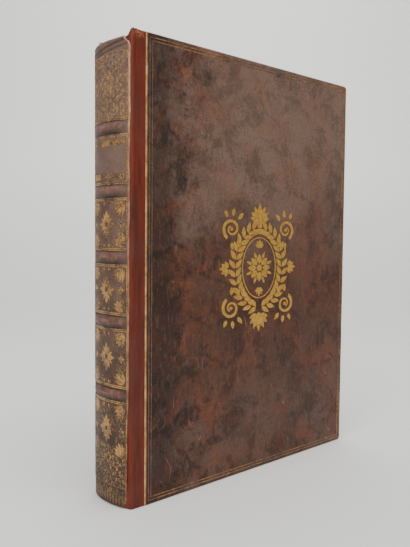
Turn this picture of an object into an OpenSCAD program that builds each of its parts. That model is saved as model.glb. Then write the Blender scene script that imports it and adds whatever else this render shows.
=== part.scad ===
// A folio bound in full calf on five raised cords, rebacked in new leather with its first spine laid back on.
// The book stands on its tail: +X runs from the spine to the fore-edge, -Y is the front cover, +Z the head.

/* [Book] */
// Height of the boards from tail to head, over the leather
board_h = 350; // [330:1:400]
// Width of a board from the joint to the fore-edge, over the leather
board_w = 256.5; // [230:0.5:280]
// Thickness of the closed book over both covers
book_t = 49; // [44:0.5:60]
// Radius of the worn corners of the boards
corner_r = 3; // [1:0.5:6]

/* [Boards] */
// Thickness of the pasteboard
board_t = 3.8; // [2.5:0.1:5]
// Length of a cord end laced into a board, from the joint
slip_l = 26; // [18:1:40]
// Thickness of a cord end frayed out flat
slip_t = 0.8; // [0.5:0.1:1.2]
// Depth of the leather turned in round the inside of a board
turn_in = 14; // [8:1:22]
// Thickness of the pared turn-ins
turn_in_t = 0.4; // [0.3:0.1:0.6]
// Thickness of the pastedown paper
paper_t = 0.3; // [0.2:0.05:0.4]

/* [Leather] */
// Thickness of the first calf on the covers
calf_t = 0.6; // [0.4:0.1:1]
// Thickness of the new leather over spine and joints
new_t = 0.7; // [0.5:0.1:1.2]
// Thickness of the first spine laid on the new leather
old_t = 0.9; // [0.6:0.1:1.4]
// Width of new leather left bare on a board, from the joint to the cut edge of the first calf
strip_w = 9; // [5:0.5:16]
// How far the new leather runs on under the first calf
strip_lap = 10; // [5:1:20]
// Width of the piece lost from the first spine at the head, beside the front joint
chip_w = 5.6; // [2:0.2:10]
// Height of the piece lost from the first spine
chip_h = 7; // [3:0.5:14]
// Bare new leather between the end of the round and the cut edge of the first spine
spine_margin = 0.5; // [0.3:0.1:3]

/* [Pages] */
// Square: how far the boards stand past the pages at head, tail and fore-edge
square_w = 4; // [2:0.5:6]
// Hollow of the fore-edge
fore_hollow = 7; // [3:0.5:10]
// Clearance between the pages and a closed cover
page_gap = 0.3; // [0.2:0.1:1]

/* [Rounded back] */
// Depth of the round behind the joints, without the bands
round_depth = 7.7; // [6.5:0.1:10]
// Radius where the back turns over the shoulder
shoulder_r = 2.5; // [2:0.1:3.5]
// Flat run of leather between the shoulder and the joint
shoulder_flat = 1; // [0.5:0.1:1.5]
// Distance of the head of the spine below the heads of the boards, as the pages have sunk
head_sink = 5; // [0:0.5:8]
// Thickness of the linings glued between the cords
lining_t = 0.7; // [0.4:0.1:1.2]

/* [Raised bands] */
// Height of the middle of the lowest band above the tail
tail_panel = 85; // [70:1:90]
// Distance from the first band to the second, counted from the tail
panel_2 = 54; // [44:0.5:56]
// Distance from the second band to the third
panel_3 = 47.5; // [44:0.5:56]
// Distance from the third band to the fourth
panel_4 = 48.5; // [44:0.5:56]
// Distance from the fourth band to the fifth, which holds the title
title_panel = 46; // [44:0.5:56]
// Width of a sewing cord
cord_w = 5; // [3:0.5:7]
// Height of a sewing cord on the back of the pages
cord_h = 3.5; // [2:0.5:5]
// Half of the angle over which a band stands up before it dies into the back
band_reach = 20.6; // [14:0.1:20.6]

/* [Headbands] */
// Depth of the leather cap folded over a headband
cap_depth = 4.5; // [3:0.5:6]
// Thickness of a headband from front to back
headband_w = 3.4; // [2:0.2:3.6]

/* [Gilding] */
// Thickness of the gold laid on the leather
gilt_t = 0.12; // [0.05:0.01:0.3]
// Width of a gilt line
line_w = 0.8; // [0.4:0.1:1.5]
// Distance of the gilt frames on the spine from its cut edges
line_in = 1.4; // [1:0.1:4]
// Distance of the outer gilt line from the edges of a cover
border_in = 3; // [1.5:0.5:10]
// Distance between the two gilt lines
line_step = 2.4; // [1.5:0.1:4]
// Height of the gilt ornament on the front cover
ornament_h = 111; // [70:1:150]
// Width of that ornament
ornament_w = 97; // [60:1:130]
// Height of the middle of the ornament above the tail
ornament_z = 176; // [150:1:190]
// Height of the fleuron in a compartment
fleuron_h = 22; // [16:0.5:26]
// Height of the gilt roll at the foot of the spine
tail_roll_h = 13; // [8:1:16]
// Height of the field of small lozenges above that roll
tail_diaper_h = 22; // [16:1:26]
// Distance between rows of small lozenges
diaper_step = 3.4; // [2.8:0.2:5]
// Height of the two broad gilt rolls in the title's compartment
title_roll_h = 4; // [2:0.5:6]

/* [Joints] */
// Slit at each joint, between the leather of the spine and the leather of the board
joint_gap = 0.3; // [0.2:0.1:0.6]
// Distance of a board's bare edge from the joint
board_back = 0.4; // [0.3:0.1:1]

/* [Hidden] */
CORDS = 5;
$fn = 96;
e = 1;

calf_colour = [0.27, 0.19, 0.16];
new_colour = [0.42, 0.18, 0.12];
old_colour = [0.40, 0.32, 0.28];
gold_colour = [0.75, 0.60, 0.26];
page_colour = [0.85, 0.78, 0.64];
board_colour = [0.62, 0.55, 0.45];
cord_colour = [0.78, 0.70, 0.54];
silk_colour = [0.55, 0.20, 0.16];

// Faces of a front board and of the pages, as distances from the middle plane of the book
half_t = book_t / 2;
board_out = half_t - calf_t;
board_in = board_out - board_t;
page_half = board_in - turn_in_t - page_gap;

// Round of the back: one large arc and two shoulder arcs that touch it, at the outside of the new leather
rise = board_out - shoulder_r;
round_r = (pow(round_depth - shoulder_flat, 2) + rise * rise - shoulder_r * shoulder_r)
    / (2 * (round_depth - shoulder_flat - shoulder_r));
round_x = round_r - round_depth;
round_a = atan2(rise, round_x + shoulder_flat);

// The large arc runs on past the shoulder arcs by this length, and in plan they begin some degrees before
// its end, so that the two always join
ARC_LAP = 0.1;
full_a = round_a + ARC_LAP / round_r * 180 / PI;
SHOULDER_LAP = 8;
SECTOR_N = 4;
RIDGE_N = 10;
ROLL_N = 12;
OVAL_N = 40;
WREATH_N = 15;
DRAWN_H = 111;
DRAWN_W = 82;
DRAWN_FLEURON = 22;

// Layers on the back, as distances outside the round
u_text = -(new_t + lining_t);
u_cord_top = u_text + cord_h;
u_new_top = u_cord_top + new_t;
u_old_top = u_new_top + old_t;
cord_half = cord_w / 2;
new_half = cord_half + new_t;
old_half = new_half + old_t;
old_a = round_a - spine_margin / round_r * 180 / PI;
line_a = old_a - line_in / round_r * 180 / PI;
side_a = line_w / round_r * 180 / PI;
roll_gap = line_w + title_roll_h;

// A band follows a tighter arc than the back, shifted outwards, and so sinks into it at the angle of its reach
band_rise = cord_h - lining_t;
band_a = min(band_reach, old_a - 1);
band_shift = band_rise * (2 * round_r + band_rise) / (2 * (round_r * (1 - cos(band_a)) + band_rise));

// Middle of each band above the tail
steps = [panel_2, panel_3, panel_4, title_panel];
band_z = [for (i = 0, z = tail_panel; i < CORDS; z = z + (i < CORDS - 1 ? steps[i] : 0), i = i + 1) z];
spine_z0 = calf_t;
spine_h = board_h - head_sink;
spine_z1 = spine_h - calf_t;
cap_r = 2 * calf_t;

// The cap over a headband is deep as far as this angle, and beside it only as deep as the shoulder allows
CAP_SHARE = 0.83;
cap_a = CAP_SHARE * round_a;
cap_side = min(cap_depth, 0.8 * shoulder_r);

// Feet and tops of the tooled compartments of the spine
panel_feet = concat([spine_z0], [for (z = band_z) z + old_half]);
panel_tops = concat([for (z = band_z) z - old_half], [spine_z1 - chip_h - e]);
TITLE_PANEL = 4;

// The origin lies under the middle of the book's box
joint_x = -(board_w - (round_depth + u_old_top)) / 2;

// Half-round section of one band that stands on distance u outside the round, with a root below it
function ridge(u, half_w, z) = concat(
    [[u - band_rise, z - half_w]],
    [for (i = [0 : RIDGE_N]) let (a = 180 * i / RIDGE_N) [u + band_rise * sin(a), z - half_w * cos(a)]],
    [[u - band_rise, z + half_w]]);

// Pointed leaf that grows along +Y from the origin
leaf_n = 5;
function leaf(length, width) = concat(
    [for (i = [0 : leaf_n]) let (t = i / leaf_n) [width / 2 * sin(180 * pow(t, 0.8)), length * t]],
    [for (i = [leaf_n - 1 : -1 : 1]) let (t = i / leaf_n) [-width / 2 * sin(180 * pow(t, 0.8)), length * t]]);

// Scroll: a band that follows a spiral from its wide mouth into its eye
scroll_n = 22;
function scroll(r0, r1, turns, width) = concat(
    [for (i = [0 : scroll_n]) let (t = i / scroll_n, a = 360 * turns * t, r = r0 + (r1 - r0) * t)
        (r + width / 2 * (1 - 0.6 * t)) * [cos(a), sin(a)]],
    [for (i = [scroll_n : -1 : 0]) let (t = i / scroll_n, a = 360 * turns * t, r = r0 + (r1 - r0) * t)
        (r - width / 2 * (1 - 0.6 * t)) * [cos(a), sin(a)]]);

// Everything is drawn with the joints at X = 0 and moved to the origin here
module place() {
    translate([joint_x, 0, 0]) children();
}

// A cover's pieces are drawn for the front and mirrored for the rear
module side(rear) {
    place() {
        if (rear) mirror([0, 1, 0]) children();
        else children();
    }
}

// Plan of the sector about x, y between angles a0 and a1
module sector(x, y, a0, a1) {
    polygon(concat([[x, y]],
        [for (i = [0 : SECTOR_N]) let (a = a0 + (a1 - a0) * i / SECTOR_N)
            [x + 2 * round_r * cos(a), y + 2 * round_r * sin(a)]]));
}

// Revolves a profile (distance outside the arc, height) of radius r about x, y and keeps it from angle a0 to a1
module revolve(x, y, r, a0, a1) {
    intersection() {
        translate([x, y, 0]) rotate_extrude() translate([r, 0]) children();
        translate([0, 0, -e]) linear_extrude(board_h + 2 * e) sector(x, y, a0, a1);
    }
}

// The large arc of the back, from angle a0 to a1 about its crown, positive towards the front
module crown(a0, a1) {
    revolve(round_x, 0, round_r, 180 + a0, 180 + a1) children();
}

// Both shoulder arcs
module shoulders() {
    revolve(-shoulder_flat, -rise, shoulder_r, 180 + round_a, 270) children();
    revolve(-shoulder_flat, rise, shoulder_r, 90, 180 - round_a) children();
}

// Plan of all that lies within distance u outside the round, up to x_end past the joints
module back_plan(u, x_end) {
    intersection() {
        translate([round_x, 0]) circle(round_r + u);
        sector(round_x, 0, 180 - full_a, 180 + full_a);
        translate([-round_r, -board_out]) square([round_r + x_end, 2 * board_out]);
    }
    for (s = [0, 1]) mirror([0, s]) {
        intersection() {
            translate([-shoulder_flat, -rise]) circle(shoulder_r + u);
            sector(-shoulder_flat, -rise, 180 + round_a - SHOULDER_LAP, 270);
        }
        translate([-shoulder_flat, -board_out - u]) square([shoulder_flat + x_end, board_out + u]);
    }
}

// A plain layer all round the back, from joint to joint, between distances u0 and u1 outside the round
module layer(u0, u1, z0, z1) {
    translate([0, 0, z0]) linear_extrude(z1 - z0) difference() {
        back_plan(u1, -joint_gap);
        back_plan(u0, round_x + e);
    }
}

// A slab in the plane of a cover, between distances y0 and y1 from the middle plane; its outline is in X and Z
module plate(y0, y1) {
    translate([0, -y0, 0]) rotate([90, 0, 0]) linear_extrude(y1 - y0) children();
}

module rectangle(x0, x1, z0, z1) {
    translate([x0, z0]) square([x1 - x0, z1 - z0]);
}

// Outline of a board from x0 to the fore-edge, with rounded corners, drawn in by some distance
module board_outline(x0, in) {
    r = max(corner_r - in, 0.4);
    rectangle(x0, board_w - in - r, in, board_h - in);
    rectangle(x0, board_w - in, in + r, board_h - in - r);
    for (z = [in + r, board_h - in - r]) translate([board_w - in - r, z]) circle(r);
}

// Pages with a rounded back, shoulders under the boards and a hollow fore-edge
module text_block() {
    fore_x = board_w - square_w;
    hollow_r = (page_half * page_half + fore_hollow * fore_hollow) / (2 * fore_hollow);
    color(page_colour) place() translate([0, 0, square_w]) linear_extrude(spine_h - 2 * square_w) {
        back_plan(u_text, -joint_gap);
        difference() {
            translate([-shoulder_flat, -page_half]) square([fore_x + shoulder_flat, 2 * page_half]);
            translate([fore_x - fore_hollow + hollow_r, 0]) circle(hollow_r);
        }
    }
}

// Paper linings between the cords
module spine_linings() {
    tops = concat([for (z = band_z) z - cord_half], [spine_h - square_w]);
    feet = concat([square_w], [for (z = band_z) z + cord_half]);
    color(page_colour) place()
        for (i = [0 : CORDS]) layer(u_text, -new_t, feet[i], tops[i]);
}

// Solid band at height z that stands on distance u outside the round, kept as far as angle a to both sides
module band(u, half_w, z, a) {
    intersection() {
        translate([round_x - band_shift, 0, 0]) rotate_extrude() translate([round_r - band_shift, 0])
            polygon(ridge(u, half_w, z));
        translate([0, 0, z - half_w - e]) linear_extrude(2 * (half_w + e)) sector(round_x, 0, 180 - a, 180 + a);
    }
}

// All that lies inside distance u of the crown, between two heights
module core(u, z0, z1) {
    translate([round_x, 0, z0]) cylinder(r = round_r + u, h = z1 - z0);
}

// One cord: half round over the back, flattened over the shoulders
module sewing_cord(z) {
    color(cord_colour) place() {
        layer(u_text, -new_t, z - cord_half, z + cord_half);
        difference() {
            band(-new_t, cord_half, z, full_a);
            core(u_text + lining_t / 2, z - cord_half - e, z + cord_half + e);
        }
    }
}

// Outline of the new leather beside the bands: a wall with a cap of some depth folded in at head and tail
function cap_outline(depth) = concat(
    [[0, cap_r], [0, spine_h - cap_r]],
    [for (i = [1 : 3]) let (a = 30 * i) [-cap_r + cap_r * cos(a), spine_h - cap_r + cap_r * sin(a)]],
    [[-depth, spine_h], [-depth, spine_h - new_t], [-new_t, spine_h - new_t],
     [-new_t, new_t], [-depth, new_t], [-depth, 0]],
    [for (i = [0 : 2]) let (a = 30 * i) [-cap_r + cap_r * sin(a), cap_r - cap_r * cos(a)]]);

module new_spine_leather() {
    color(new_colour) place() difference() {
        union() {
            crown(-full_a, full_a) polygon(cap_outline(cap_side));
            crown(-cap_a, cap_a) polygon(cap_outline(cap_depth));
            shoulders() polygon(cap_outline(cap_side));
            for (s = [0, 1]) mirror([0, s, 0])
                translate([-joint_gap / 2, -board_out, 0]) rotate([90, 0, -90])
                    linear_extrude(shoulder_flat - joint_gap / 2) polygon(cap_outline(cap_side));
            for (z = band_z) difference() {
                band(0, new_half, z, full_a);
                core(-new_t / 2, z - new_half - e, z + new_half + e);
            }
        }
        for (z = band_z) band(-new_t, cord_half, z, full_a);
    }
}

module first_spine() {
    color(old_colour) place() difference() {
        union() {
            crown(-old_a, old_a) rectangle(-new_t / 2, old_t, spine_z0, spine_z1);
            for (z = band_z) band(old_t, old_half, z, old_a);
        }
        for (z = band_z) band(0, new_half, z, full_a);
        core(0, -e, board_h + e);
        // Piece lost at the head, beside the front joint
        translate([round_x, 0, spine_h]) rotate([0, 0, 180 + old_a]) rotate([90, 0, 90])
            linear_extrude(2 * round_r)
                polygon([[e, -chip_h], [-0.2 * chip_w, -0.9 * chip_h], [-0.5 * chip_w, -0.6 * chip_h],
                    [-0.8 * chip_w, -0.5 * chip_h], [-chip_w, e], [e, e]]);
    }
}

// Worked band on its core, along the back edge of the pages
module headband(z0, z1) {
    u1 = -new_t - 0.1;
    u0 = u1 - headband_w;
    color(silk_colour) place() crown(-cap_a, cap_a) {
        rectangle(u0, u1, z0, z1 - headband_w / 4);
        translate([u0 + headband_w / 4, 0]) rectangle(0, headband_w / 2, z0, z1);
    }
}

module head_band() {
    headband(spine_h - square_w, spine_h - new_t);
}

module tail_band() {
    translate([0, 0, square_w]) mirror([0, 0, 1]) headband(0, square_w - new_t);
}

// A gilt line across the spine
module spine_line(z, width, a) {
    crown(-a, a) rectangle(old_t, old_t + gilt_t, z - width / 2, z + width / 2);
}

// A gilt line round a compartment of the spine
module spine_frame(z0, z1) {
    difference() {
        crown(-line_a, line_a) rectangle(old_t, old_t + gilt_t, z0, z1);
        crown(-line_a + side_a, line_a - side_a) rectangle(0, old_t + e, z0 + line_w, z1 - line_w);
    }
}

function frame_foot(i) = i == 0 ? spine_z0 + tail_roll_h + line_step / 2 : panel_feet[i] + line_step - line_w / 2;
function frame_top(i) = panel_tops[i] - line_step + line_w / 2;

module spine_gilt_lines() {
    color(gold_colour) place() {
        for (z = band_z, s = [-1, 1]) spine_line(z + s * (old_half + line_step / 2), line_w, line_a);
        for (i = [0 : CORDS]) spine_frame(frame_foot(i), frame_top(i));
        // Broad rolls above and below the title
        for (z = [frame_foot(TITLE_PANEL) + roll_gap, frame_top(TITLE_PANEL) - roll_gap])
            spine_line(z, title_roll_h, line_a - 3 * side_a);
    }
}

// Flat shapes on the spine, given by the run round the back from its middle and the height
function on_back(points) = [for (p = points) [round_r * sin(p[0] / round_r * 180 / PI), p[1]]];

// Leaves of a motif about x, z on the spine, as [angle, distance, length, width], mirrored by sx and sz
module spine_leaves(list, x, z, sx = 1, sz = 1) {
    for (p = list) polygon(on_back([for (q = leaf(p[2], p[3])) let (d = q[1] + p[1])
        [x + sx * (q[0] * cos(p[0]) - d * sin(p[0])), z + sz * (q[0] * sin(p[0]) + d * cos(p[0]))]]));
}

// Motifs of the spine, as [angle, distance, length, width]; the fleuron is drawn DRAWN_FLEURON high
LOZENGE = concat(
    [for (a = [0, 180]) [a, 1.2, 9.8, 4.2]],
    [for (a = [90, 270]) [a, 1, 8.4, 4]],
    [for (a = [26, 154, 206, 334]) [a, 1.6, 7.4, 2.4]],
    [for (a = [57, 123, 237, 303]) [a, 1.6, 6.6, 2.4]]);
SPRAY = [[-45, 1, 11, 3.6], [-76, 1.4, 8.6, 2.6], [-14, 1.4, 9.4, 2.6], [-60, 6.2, 5.6, 2.2], [-30, 6.2, 6, 2.2]];
FLOWER = [for (a = [0 : 90 : 270]) [a, 0.3, 2.7, 2]];

// Small lozenges in staggered rows between heights z0 and z1, inside half width w
module diaper(z0, z1, w) {
    rows = floor((z1 - z0) / diaper_step);
    for (j = [0 : rows]) for (x = [-w + (j % 2) * diaper_step : 2 * diaper_step : w])
        spine_leaves([[0, -diaper_step * 0.45, diaper_step * 0.9, diaper_step * 0.55]],
            x, z0 + (z1 - z0) * j / rows);
}

module spine_gilt_tools() {
    w = line_a * PI / 180 * round_r - 2 * line_w;
    k = fleuron_h / DRAWN_FLEURON;
    color(gold_colour) place() intersection() {
        crown(-line_a, line_a) rectangle(old_t, old_t + gilt_t, 0, board_h);
        rotate([90, 0, -90]) linear_extrude(2 * round_depth) {
            for (i = [0 : CORDS - 2]) {
                foot = (i == 0 ? frame_foot(0) + tail_diaper_h : frame_foot(i)) + 2 * line_w;
                top = frame_top(i) - 2 * line_w;
                spine_leaves([for (p = LOZENGE) [p[0], p[1] * k, p[2] * k, p[3] * k]], 0, (foot + top) / 2);
                for (s = [-1, 1]) {
                    spine_leaves(FLOWER, s * 0.82 * w, (foot + top) / 2);
                    for (t = [-1, 1]) {
                        spine_leaves(SPRAY, s * w, t < 0 ? foot : top, -s, -t);
                        spine_leaves([[0, 0, 2.6, 1.6]], s * 3, t < 0 ? foot : top, 1, -t);
                    }
                }
            }
            diaper(frame_foot(0) + 3 * line_w, frame_foot(0) + tail_diaper_h, w - line_w);
            diaper(frame_foot(CORDS) + 4 * line_w, frame_top(CORDS) - 4 * line_w, w - line_w);
            // Roll of lozenges at the foot
            for (j = [0 : ROLL_N - 1])
                spine_leaves([[0, 1 - tail_roll_h / 2, tail_roll_h - 2, 1.3 * w / ROLL_N]],
                    w * (2 * (j + 0.5) / ROLL_N - 1), spine_z0 + tail_roll_h / 2);
        }
    }
}

module board(rear) {
    color(board_colour) side(rear) difference() {
        plate(board_in, board_out) board_outline(board_back, calf_t);
        plate(board_out - new_t, board_out + e) rectangle(-e, strip_w + strip_lap, -e, board_h + e);
        for (z = band_z) plate(board_out - new_t - slip_t, board_out) slip_outline(z);
    }
}

module slip_outline(z) {
    rectangle(board_back, slip_l, z - cord_half, z + cord_half);
    translate([slip_l, z]) circle(cord_half);
}

// Cord ends frayed out flat and laced into the board
module cord_slips(rear) {
    color(cord_colour) side(rear)
        for (z = band_z) plate(board_out - new_t - slip_t, board_out - new_t) slip_outline(z);
}

// First calf, drawn over three edges of the board and turned in
module calf(rear) {
    color(calf_colour) side(rear) difference() {
        plate(board_in - turn_in_t, half_t) board_outline(strip_w, 0);
        plate(board_in, board_out) board_outline(0, calf_t);
        plate(board_in - turn_in_t - e, board_in + e) rectangle(0, board_w - turn_in, turn_in, board_h - turn_in);
    }
}

// New leather on the board, turned in at head and tail and tucked under the first calf
module joint_strip(rear) {
    color(new_colour) side(rear) {
        difference() {
            plate(board_in - turn_in_t, board_out) rectangle(joint_gap / 2, strip_w, 0, board_h);
            plate(board_in, board_out - new_t) rectangle(0, strip_w + e, calf_t, board_h - calf_t);
            plate(board_in - turn_in_t - e, board_in + e) rectangle(0, strip_w + e, turn_in, board_h - turn_in);
        }
        plate(board_out - new_t, board_out) rectangle(strip_w, strip_w + strip_lap, calf_t, board_h - calf_t);
    }
}

module pastedown(rear) {
    color(page_colour) side(rear) plate(board_in - paper_t, board_in)
        rectangle(board_back, board_w - turn_in, turn_in, board_h - turn_in);
}

module frame_line(in) {
    difference() {
        rectangle(strip_w + in, board_w - in, in, board_h - in);
        rectangle(strip_w + in + line_w, board_w - in - line_w, in + line_w, board_h - in - line_w);
    }
}

// Two gilt lines round a cover
module gilt_border(rear) {
    color(gold_colour) side(rear) plate(half_t, half_t + gilt_t) {
        frame_line(border_in);
        frame_line(border_in + line_step);
    }
}

module leaves(list) {
    for (p = list) rotate(p[0]) translate([0, p[1]]) polygon(leaf(p[2], p[3]));
}

// Thin oval line with half axes a and b
module oval_line(a, b, width) {
    difference() {
        polygon([for (i = [0 : OVAL_N - 1]) let (t = 360 * i / OVAL_N) [a * cos(t), b * sin(t)]]);
        polygon([for (i = [0 : OVAL_N - 1]) let (t = 360 * i / OVAL_N)
            [(a - width) * cos(t), (b - width) * sin(t)]]);
    }
}

// Oval wreath round a rosette, with palmettes at head, foot and sides and a scroll in each corner,
// drawn DRAWN_W wide and DRAWN_H high
module ornament() {
    a = 25;
    b = 34;
    for (s = [-1, 1], i = [0 : WREATH_N - 1]) {
        t = -84 + 168 * i / (WREATH_N - 1);
        heading = atan2(b * cos(t), -s * a * sin(t)) - 90;
        for (w = [-40, 40]) translate([s * a * cos(t), b * sin(t)]) rotate(heading + w)
            translate([0, 0.5]) polygon(leaf(9.6, 4.2));
    }
    oval_line(18.2, 26.4, 0.9);
    circle(2.8);
    leaves([for (i = [0 : 7]) [45 * i, 3.4, 8.6, 5.4]]);
    leaves([for (i = [0 : 7]) [45 * i + 22.5, 8.4, 6.4, 2.6]]);
    for (s = [0, 180]) rotate(s) {
        // Small palmette inside the oval, and the large one over it
        translate([0, 17.2]) leaves([for (j = [-2 : 2]) [26 * j, 0, 7.6 - abs(j), 2.8]]);
        translate([0, 40.6]) {
            leaves([for (j = [-3 : 3]) [26 * j, 1.4, 13.6 - 1.6 * abs(j), 4.8]]);
            circle(1.9);
        }
        // Palmette at the side
        rotate(-90) translate([0, 32]) leaves([for (j = [-2 : 2]) [32 * j, 0.8, 8.2 - abs(j), 3.8]]);
    }
    for (sx = [0, 1], sz = [0, 1]) mirror([sx, 0]) mirror([0, sz]) translate([29, 33]) {
        rotate(-60) polygon(scroll(8.6, 2.4, 1.35, 3));
        circle(1.6);
        leaves([[40, 10.4, 7.6, 3.8], [8, 10.6, 7, 3.6], [-24, 10.6, 6.4, 3.4], [150, 11, 8, 3.8], [178, 11, 7, 3.4]]);
    }
}

module front_gilt_ornament() {
    color(gold_colour) side(false) plate(half_t, half_t + gilt_t)
        translate([(strip_w + board_w) / 2, ornament_z]) scale([ornament_w / DRAWN_W, ornament_h / DRAWN_H]) ornament();
}

text_block();
spine_linings();
for (i = [1 : CORDS]) sewing_cord(band_z[i - 1]);
new_spine_leather();
first_spine();
head_band();
tail_band();
spine_gilt_lines();
spine_gilt_tools();
board(false);  // front_board
calf(false);  // front_calf
joint_strip(false);  // front_joint_strip
pastedown(false);  // front_pastedown
cord_slips(false);  // front_cord_slips
gilt_border(false);  // front_gilt_border
front_gilt_ornament();
board(true);  // rear_board
calf(true);  // rear_calf
joint_strip(true);  // rear_joint_strip
pastedown(true);  // rear_pastedown
cord_slips(true);  // rear_cord_slips
gilt_border(true);  // rear_gilt_border
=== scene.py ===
# %% [markdown]
# A rebacked folio in mottled calf
#
# This lesson dresses the measured solids of an old book. The solids give every size, so nothing here
# changes one. What they lack is what a hand and an eye notice: mottled calf, pared edges, worn gold, bands
# that the leather was pulled over, and the edges of some hundreds of leaves.

# %% Load the solids and the tools
import math

import bpy
import numpy as np
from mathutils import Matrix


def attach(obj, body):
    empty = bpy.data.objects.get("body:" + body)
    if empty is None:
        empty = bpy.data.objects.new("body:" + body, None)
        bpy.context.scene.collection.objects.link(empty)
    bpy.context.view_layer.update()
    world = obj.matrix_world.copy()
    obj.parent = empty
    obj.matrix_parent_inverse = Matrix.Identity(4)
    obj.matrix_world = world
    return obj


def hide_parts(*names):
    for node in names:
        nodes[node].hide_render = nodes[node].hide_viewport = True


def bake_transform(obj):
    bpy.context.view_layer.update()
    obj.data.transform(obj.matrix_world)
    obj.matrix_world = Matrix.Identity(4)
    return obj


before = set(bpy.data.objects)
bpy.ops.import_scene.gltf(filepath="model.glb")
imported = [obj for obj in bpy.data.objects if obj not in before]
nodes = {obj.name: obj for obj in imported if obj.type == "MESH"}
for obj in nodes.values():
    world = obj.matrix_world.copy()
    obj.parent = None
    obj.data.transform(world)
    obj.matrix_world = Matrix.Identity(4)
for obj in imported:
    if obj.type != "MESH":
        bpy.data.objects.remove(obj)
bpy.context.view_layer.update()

# %% [markdown]
# The photograph's camera stands low, near the middle of the book's height, and looks across the spine along
# the front cover. It was fitted to the edges of the cover and the foot of the spine, so the render falls on
# the same lines.

# %% Place the camera
FRAME_H = 547
FOCAL_PX = 650.0
YAW, PITCH, ROLL = math.radians(42.9157), math.radians(3.2213), math.radians(-0.5096)

camera_data = bpy.data.cameras.new("camera")
camera = bpy.data.objects.new("camera", camera_data)
bpy.context.scene.collection.objects.link(camera)
camera_data.sensor_width = 36.0
camera_data.lens = FOCAL_PX / FRAME_H * camera_data.sensor_width
camera.location = (-0.40652, -0.403502, 0.20218)
camera.rotation_mode = "XYZ"
camera.rotation_euler = (math.pi / 2 - PITCH, ROLL, -YAW)
camera_data.clip_start = 0.01
bpy.context.scene.camera = camera
print("lens in mm:", round(camera_data.lens, 2))

# %% [markdown]
# All lengths below are in millimetres, as a binder would give them, and turn to metres only when a mesh is
# made. They repeat the values of the part's source. The X of a cover is counted from its joint, and Y from
# the middle of the book's thickness.

# %% Sizes of the boards and their leather
MM = 0.001
BOARD_H, BOARD_W, BOARD_T = 350.0, 256.5, 3.8
HALF_T, CALF_T = 24.5, 0.6
BOARD_OUT = HALF_T - CALF_T
BOARD_IN = BOARD_OUT - BOARD_T
TURN_IN, TURN_IN_T = 14.0, 0.4
INSIDE_Y = BOARD_IN - TURN_IN_T
STRIP_W, STRIP_LAP = 9.0, 10.0
JOINT_X = -122.55
CORNER_R = 3.0
print("board over leather:", BOARD_W, "by", BOARD_H, "mm, book", 2 * HALF_T, "mm thick")

# %% [markdown]
# The back is one large arc between two small shoulder arcs that touch it. Its radius follows from how deep
# the round is and how far apart the shoulders are. A band follows a tighter arc, moved outwards by a shift
# that lets it sink into the back at the angle where it should end.

# %% Sizes of the rounded back and the bands
OLD_T = 0.9
ROUND_DEPTH, SHOULDER_R, SHOULDER_FLAT = 7.7, 2.5, 1.0
RISE = BOARD_OUT - SHOULDER_R
ROUND_R = ((ROUND_DEPTH - SHOULDER_FLAT) ** 2 + RISE ** 2 - SHOULDER_R ** 2) / (
    2 * (ROUND_DEPTH - SHOULDER_FLAT - SHOULDER_R))
ROUND_X = ROUND_R - ROUND_DEPTH
ROUND_A = math.atan2(RISE, ROUND_X + SHOULDER_FLAT)
BAND_RISE, BAND_HALF = 2.8, 4.1
BAND_A = math.radians(20.6)
BAND_SHIFT = BAND_RISE * (2 * ROUND_R + BAND_RISE) / (2 * (ROUND_R * (1 - math.cos(BAND_A)) + BAND_RISE))
BAND_Z = np.array([85.0, 139.0, 186.5, 235.0, 281.0])
FOOT_AT, FOOT_RISE, FOOT_REACH, FOOT_END = 0.92, 0.392, 0.5, 1.6
CROWN_RUN = ROUND_R * ROUND_A
SHOULDER_RUN = CROWN_RUN + SHOULDER_R * (math.pi / 2 - ROUND_A)
JOINT_RUN = SHOULDER_RUN + SHOULDER_FLAT
SIDE_MARGIN, LINE_MARGIN, END_MARGIN = 0.5, 1.4, 0.6
OLD_EDGE = CROWN_RUN - SIDE_MARGIN
LINE_EDGE = OLD_EDGE - LINE_MARGIN
HEAD_SINK = 5.0
SPINE_H = BOARD_H - HEAD_SINK
SPINE_Z0, SPINE_Z1 = END_MARGIN, SPINE_H - END_MARGIN
print("radius of the back:", round(ROUND_R, 2), "run to the joint:", round(JOINT_RUN, 2))

# %% [markdown]
# A mesh here is a table of points worked out all at once. A grid of points becomes a surface by joining
# each point to its neighbours in the next column and the next row. Most of the leather is two such grids,
# one thickness apart, joined round their rim.

# %% Helpers that turn grids of points into meshes
def grid_faces(rows, columns):
    """Corner numbers of the four-sided faces of a grid: row r, column c is point r * columns + c."""
    r, c = np.meshgrid(np.arange(rows - 1), np.arange(columns - 1), indexing="ij")
    first = r * columns + c
    return np.stack([first, first + 1, first + columns + 1, first + columns], axis=-1).reshape(-1, 4)


def layered_shell(outer, inner):
    """Closes two grids of the same size into one solid: outer, inner and the rim between them."""
    rows, columns = outer.shape[:2]
    quads = grid_faces(rows, columns)
    shift = rows * columns
    number = np.arange(shift).reshape(rows, columns)
    rim = np.concatenate([number[0, :-1], number[:-1, -1], number[-1, :0:-1], number[:0:-1, 0]])
    following = np.roll(rim, -1)
    walls = np.stack([rim, rim + shift, following + shift, following], axis=-1)
    points = np.concatenate([outer.reshape(-1, 3), inner.reshape(-1, 3)])
    return points, np.concatenate([quads, quads[:, ::-1] + shift, walls])


def twice(values):
    """One field value for each layer of a shell: the values for the outer grid, and again for the inner."""
    return np.tile(values.ravel(), 2)


def join(parts):
    """One list of points and one of faces from several, with each part's corner numbers moved on."""
    starts = np.cumsum([0] + [len(points) for points, faces in parts[:-1]])
    return (np.concatenate([points for points, faces in parts]),
            np.concatenate([faces + start for (points, faces), start in zip(parts, starts)]))


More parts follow.
